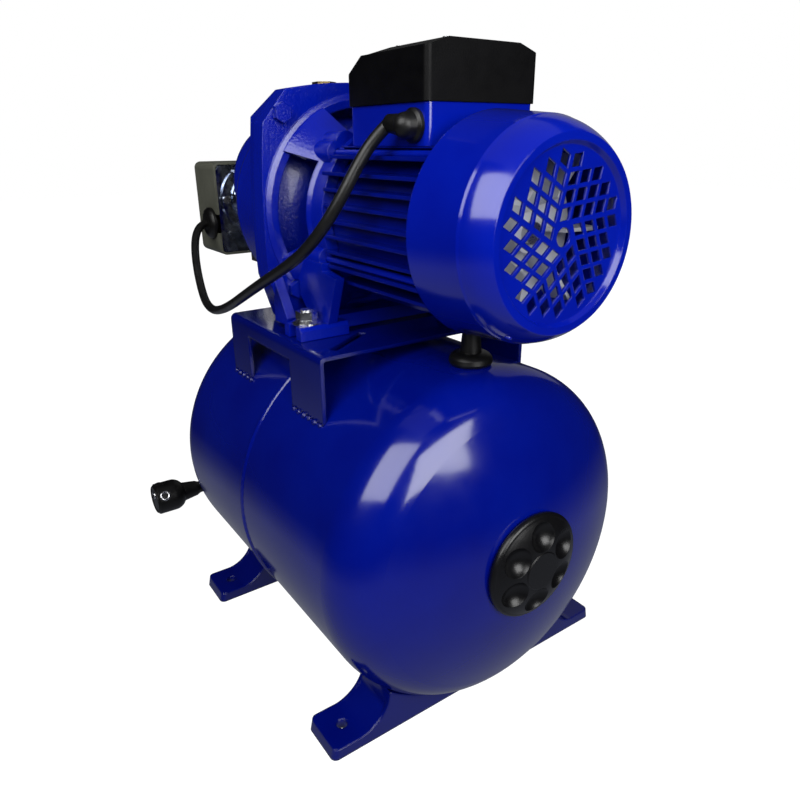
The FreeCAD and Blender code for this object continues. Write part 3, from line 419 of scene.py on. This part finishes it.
# Profiles of turned pieces: rows of (height, radius) in millimetres.
PLUG_RIM = [(-0.5, 15.6), (0.5, 15.9), (0.9, 16.6), (0.5, 17.3), (-0.5, 17.4)]
EARTH_BUSH = [(-1, 4.6), (1.0, 4.6), (1.4, 4.1), (1.4, 3.1), (-1, 3.1)]
EARTH_RING = [(-2.0, 6.2), (0.6, 6.2), (1.2, 5.6), (1.2, 3.4), (-2.0, 3.0)]
EARTH_HOLE = [(-2.0, 2.9), (0.2, 2.9), (0.4, 2.4)]
COVER_SCREW = [(-1.5, 2.4), (0.5, 2.6), (1.2, 2.0), (1.2, 1.1), (0.5, 0.9)]
# Where they sit, in metres and degrees.
PLUG_FACE_Y, BUSH_UP = 0.022, 0.006
EARTH_BACK, EARTH_OUT, EARTH_WAY = 0.013, 0.0190, (0.85, 0, 0.52)
SCREW_INSET, SCREW_R = 0.0135, 0.0668
SCREW_ANGLES = (("right", -62), ("left", -118))


def add_plug_face(materials):
    """The plug's raised rim, the earth bush in its face, and an earth ring on each side."""
    toward = (0, -1, 0)
    face = PLUG_AT + Vector((0, -PLUG_FACE_Y, 0))
    rim = lathe("plug_rim", PLUG_RIM, aim(face, toward))
    mesh_piece("plug_rim", rim, materials["rubber"])
    bush = lathe("earth_bush", EARTH_BUSH, aim(face + Vector((0, 0, BUSH_UP)), toward), 28)
    mesh_piece("earth_bush", bush, materials["zinc"])
    for name, side in (("near", 1), ("far", -1)):
        out = Vector((EARTH_WAY[0] * side, EARTH_WAY[1], EARTH_WAY[2])).normalized()
        place = aim(PLUG_AT + Vector((0, -EARTH_BACK, 0)) + out * EARTH_OUT, out)
        ring = lathe(f"earth_ring_{name}", EARTH_RING, place, 32)
        mesh_piece(f"earth_ring_{name}", ring, materials["zinc"])
        hole = lathe(f"earth_hole_{name}", EARTH_HOLE, place, 24)
        mesh_piece(f"earth_hole_{name}", hole, materials["rubber"])


def add_cover_screws(materials):
    """Small blue-painted screws low on both sides of the fan cover."""
    low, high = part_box("fan_cover")
    middle = (low[2] + high[2]) / 2
    for name, angle in SCREW_ANGLES:
        turn = math.radians(angle)
        out = Vector((0, math.cos(turn), math.sin(turn)))
        at = Vector((high[0] - SCREW_INSET, 0, middle)) + out * SCREW_R
        screw = lathe(f"cover_screw_{name}", COVER_SCREW, aim(at, out), 20)
        mesh_piece(f"cover_screw_{name}", screw, materials["sheet"])


# ---- floor and light ----------------------------------------------------------------------
FLOOR_REACH, FLOOR_DROP, FLOOR_GLOW = 6.0, 0.0002, 1.03
# The room's colours, from straight down (0) through level (0.5) to straight up (1).
ROOM_TOP = (0.007, 0.007, 0.01, 1)
ROOM_BOTTOM = (0.21, 0.22, 0.26, 1)
ROOM_BETWEEN = ((0.27, (0.17, 0.18, 0.21, 1)), (0.33, (0.06, 0.065, 0.08, 1)),
                (0.38, (0.012, 0.012, 0.016, 1)))
# Name, place, target, width, height (metres) and power (watts).
LIGHTS = (
    ("end_box", (1.33, -0.10, 0.84), (0.16, -0.07, 0.24), 0.95, 0.9, 19),
    ("side_box", (0.46, -1.06, 1.19), (0.15, -0.06, 0.38), 1.15, 1.0, 19),
    ("overhead", (0.0, 0.1, 1.7), (0.0, 0.0, 0.3), 1.5, 1.5, 1.0),
    ("back_box", (-0.9, 1.1, 0.9), (-0.1, 0, 0.3), 1.4, 1.2, 1.0),
)


def add_floor():
    """A white floor that is seen but lights nothing, so the blue isn't washed out by it."""
    mesh = bpy.data.meshes.new("floor")
    reach = FLOOR_REACH
    mesh.from_pydata([(-reach, -reach, 0), (reach, -reach, 0), (reach, reach, 0), (-reach, reach, 0)],
                     [], [(0, 1, 2, 3)])
    made = Shader("floor_paint", (0.12, 0.12, 0.12), 0.8)
    made.tint(made.noise(3, 2), (0.115, 0.115, 0.115), (0.125, 0.125, 0.125))
    made.set("Specular IOR Level", 0.0)
    made.set("Emission Color", (1, 1, 1, 1))
    made.set("Emission Strength", FLOOR_GLOW)
    mesh.materials.append(made.material)
    floor = bpy.data.objects.new("floor", mesh)
    bpy.context.collection.objects.link(floor)
    floor.location.z = -FLOOR_DROP
    floor.visible_glossy = False
    floor.visible_diffuse = False


def area_light(name, at, target, wide, tall, power):
    data = bpy.data.lights.new(name, "AREA")
    data.shape = "RECTANGLE"
    data.size, data.size_y, data.energy = wide, tall, power
    light = bpy.data.objects.new(name, data)
    bpy.context.collection.objects.link(light)
    light.location = at
    light.visible_camera = False
    light.rotation_euler = (Vector(target) - Vector(at)).to_track_quat("-Z", "Y").to_euler()


def add_world():
    """White to the eye, and a near-black room, paler towards the floor, to everything else."""
    world = bpy.data.worlds.new("studio")
    bpy.context.scene.world = world
    world.use_nodes = True
    tree = world.node_tree
    room = tree.nodes["Background"]
    room.inputs["Strength"].default_value = 1.0
    place = tree.nodes.new("ShaderNodeTexCoord")
    split = tree.nodes.new("ShaderNodeSeparateXYZ")
    tone = tree.nodes.new("ShaderNodeValToRGB")
    tree.links.new(place.outputs["Generated"], split.inputs["Vector"])
    level = tree.nodes.new("ShaderNodeMapRange")
    level.inputs["From Min"].default_value = -1.0
    tree.links.new(split.outputs["Z"], level.inputs["Value"])
    tree.links.new(level.outputs["Result"], tone.inputs["Fac"])
    stops = tone.color_ramp.elements
    stops[0].position, stops[0].color = 0.0, ROOM_BOTTOM
    stops[1].position, stops[1].color = 1.0, ROOM_TOP
    for position, color in ROOM_BETWEEN:
        stops.new(position).color = color
    tree.links.new(tone.outputs["Color"], room.inputs["Color"])
    bright = tree.nodes.new("ShaderNodeBackground")
    bright.inputs["Color"].default_value = (1, 1, 1, 1)
    path = tree.nodes.new("ShaderNodeLightPath")
    mix = tree.nodes.new("ShaderNodeMixShader")
    tree.links.new(path.outputs["Is Camera Ray"], mix.inputs["Fac"])
    tree.links.new(room.outputs["Background"], mix.inputs[1])
    tree.links.new(bright.outputs["Background"], mix.inputs[2])
    tree.links.new(mix.outputs["Shader"], tree.nodes["World Output"].inputs["Surface"])


def add_light():
    add_world()
    for light in LIGHTS:
        area_light(*light)
    bpy.context.scene.view_settings.view_transform = "Standard"


materials = make_materials()
add_camera()
paint_nodes(materials)
add_link_cord(materials)
add_mains_cord(materials)
add_hose(materials)
add_welds(materials)
add_plug_face(materials)
add_cover_screws(materials)
add_floor()
add_light()
